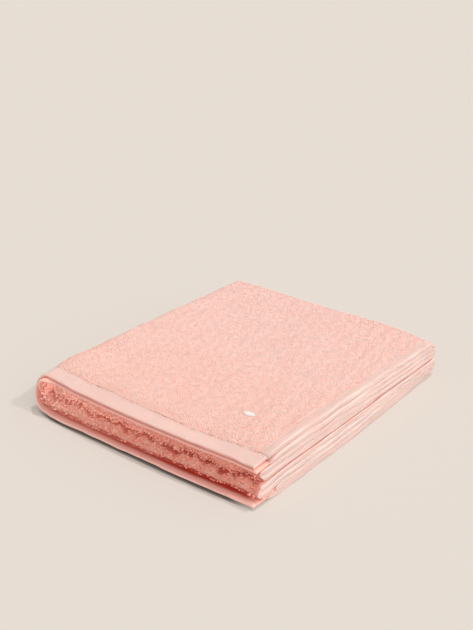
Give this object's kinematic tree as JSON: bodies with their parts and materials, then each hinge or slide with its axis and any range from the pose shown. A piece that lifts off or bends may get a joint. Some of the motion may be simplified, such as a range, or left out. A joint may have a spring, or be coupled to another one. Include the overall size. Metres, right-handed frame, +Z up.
{
  "type": "folded bath towel",
  "caption": "Cotton terry bath towel, quartered and folded in half into a soft flat stack, with wide flat-woven hems and a small plain embroidered motif.",
  "frame": {"origin": "on the surface the towel lies on, under the middle of the folded stack", "axes": "+Z up; -X is the end where the whole stack bends round on itself and +X the end with the side hems; -Y is the side with both end hems and +Y the side with the two large back folds"},
  "size_m": [0.3402, 0.3794, 0.0509],
  "materials": {
    "terry": "matte",
    "hem": "matte",
    "thread": "matte",
    "motif": "satin"
  },
  "bodies": {
    "root": {"terry_cloth": "terry", "end_hem_outer": "hem", "end_hem_inner": "hem", "side_hem_upper": "hem", "side_hem_lower": "hem", "end_hem_outer_stitching": "thread", "end_hem_inner_stitching": "thread", "side_hem_upper_stitching": "thread", "side_hem_lower_stitching": "thread", "embroidered_motif": "motif"}
  },
  "joints": []
}
